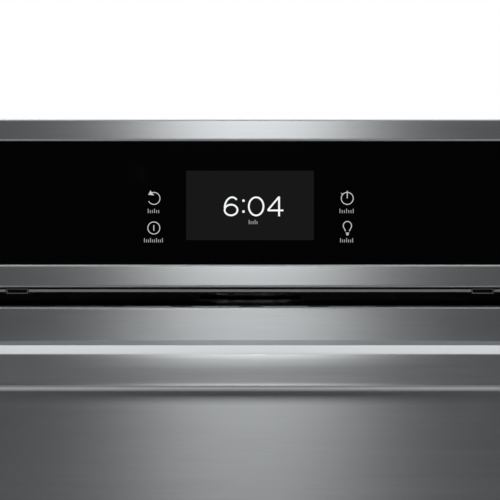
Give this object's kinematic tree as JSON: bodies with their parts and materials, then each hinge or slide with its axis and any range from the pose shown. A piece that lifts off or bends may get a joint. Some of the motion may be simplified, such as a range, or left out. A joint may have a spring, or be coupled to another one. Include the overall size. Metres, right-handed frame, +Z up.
{
  "type": "wall oven",
  "caption": "Built-in electric wall oven: boxed chassis with enamelled cavity, wire racks, touch control panel of steel and black glass, and a drop-down door with a bar handle.",
  "frame": {"origin": "underside of the base pan, at mid width, in the plane of the cabinet's face on which the flanges seat", "axes": "+X to the right as seen from the room, +Y into the cabinet (the front faces -Y), +Z up"},
  "size_m": [0.762, 0.6256, 0.737],
  "materials": {
    "brushed_stainless": "satin, brushed along the width",
    "handle_metal": "satin, brushed along the width",
    "panel_glass": "gloss black, back-painted",
    "window_glass": "gloss, dark border printed behind",
    "clear_glass": "clear, polished",
    "bulb_glass": "frosted",
    "black_enamel": "gloss enamel with fine blue-grey speckle",
    "frame_black": "satin black",
    "galvanised_steel": "zinc-coated sheet, satin",
    "vent_grey": "satin grey",
    "chrome_wire": "polished",
    "element_sheath": "matte oxidised alloy",
    "zinc_hardware": "zinc plated, satin",
    "motor_black": "satin",
    "insulation_wool": "matte glass wool",
    "seal_rope": "woven glass fibre",
    "display_black": "satin",
    "circuit_board": "satin green resist",
    "dark_plastic": "matte",
    "white_plastic": "satin"
  },
  "bodies": {
    "chassis": {"base_pan": "galvanised_steel", "left_side_panel": "galvanised_steel", "right_side_panel": "galvanised_steel", "rear_panel": "galvanised_steel", "top_cover": "galvanised_steel", "front_frame": "frame_black", "left_flange": "frame_black", "right_flange": "frame_black", "bottom_trim": "brushed_stainless", "cavity_liner": "black_enamel", "left_rack_ladder": "chrome_wire", "right_rack_ladder": "chrome_wire", "insulation": "insulation_wool", "broil_element": "element_sheath", "bake_element": "element_sheath", "convection_element": "element_sheath", "fan_baffle": "black_enamel", "convection_motor": "motor_black", "lamp_housing": "zinc_hardware", "lamp_bulb": "bulb_glass", "lamp_lens": "clear_glass", "temperature_probe": "zinc_hardware", "door_gasket": "seal_rope", "cavity_vent_tube": "galvanised_steel", "cooling_duct": "galvanised_steel", "blower_housing": "galvanised_steel", "blower_motor": "motor_black", "control_panel_frame": "brushed_stainless", "control_glass": "panel_glass", "display_module": "display_black", "touch_board": "circuit_board", "control_board": "circuit_board", "vent_trim": "vent_grey", "vent_clips": "vent_grey", "latch_motor": "motor_black", "door_switch_body": "dark_plastic", "hinge_receivers": "zinc_hardware", "hinge_arms": "zinc_hardware", "junction_box": "galvanised_steel", "power_board": "circuit_board", "wiring_harness": "dark_plastic", "cover_screws": "zinc_hardware"},
    "door": {"door_panel": "brushed_stainless", "door_outer_glass": "window_glass", "door_middle_glass": "clear_glass", "door_inner_glass": "clear_glass", "door_inner_panel": "black_enamel", "window_frame": "galvanised_steel", "door_insulation": "insulation_wool", "handle_bar": "handle_metal", "handle_brackets": "handle_metal", "hinge_channels": "zinc_hardware", "hinge_pins": "zinc_hardware", "hinge_springs": "zinc_hardware"},
    "convection_fan": {"convection_fan": "zinc_hardware"},
    "blower_wheel": {"blower_wheel": "zinc_hardware"},
    "latch_hook": {"latch_hook": "zinc_hardware"},
    "switch_plunger": {"switch_plunger": "white_plastic"},
    "upper_rack": {"upper_rack": "chrome_wire"},
    "lower_rack": {"lower_rack": "chrome_wire"}
  },
  "joints": [
    {"name": "door_hinge", "type": "hinge", "parent": "chassis", "child": "door", "pos_m": [0, -0.024, 0.042], "axis": [1, 0, 0], "range_deg": [0, 90], "stiffness_Nm_per_rad": 20, "springref_deg": -11.46, "deforming": ["hinge_springs"]},
    {"name": "upper_rack_slide", "type": "slide", "parent": "chassis", "child": "upper_rack", "axis": [0, -1, 0], "range_m": [0, 0.3]},
    {"name": "lower_rack_slide", "type": "slide", "parent": "chassis", "child": "lower_rack", "axis": [0, -1, 0], "range_m": [0, 0.25]},
    {"name": "fan_spin", "type": "hinge", "parent": "chassis", "child": "convection_fan", "pos_m": [0, 0.44, 0.315], "axis": [0, 1, 0], "continuous": true},
    {"name": "blower_spin", "type": "hinge", "parent": "chassis", "child": "blower_wheel", "pos_m": [0, 0.42, 0.6], "axis": [0, 0, 1], "continuous": true},
    {"name": "latch_swing", "type": "hinge", "parent": "chassis", "child": "latch_hook", "pos_m": [-0.015, 0.02, 0.564], "axis": [0, 0, 1], "range_deg": [0, 25]},
    {"name": "switch_travel", "type": "slide", "parent": "chassis", "child": "switch_plunger", "axis": [0, -1, 0], "range_m": [0, 0.005]}
  ],
  "couplings": [
    {"joint": "upper_rack_slide", "follows": "door_hinge", "m_per_rad": 0.1909},
    {"joint": "lower_rack_slide", "follows": "door_hinge", "m_per_rad": 0.159},
    {"joint": "switch_travel", "follows": "door_hinge", "m_per_rad": 0.00318}
  ]
}
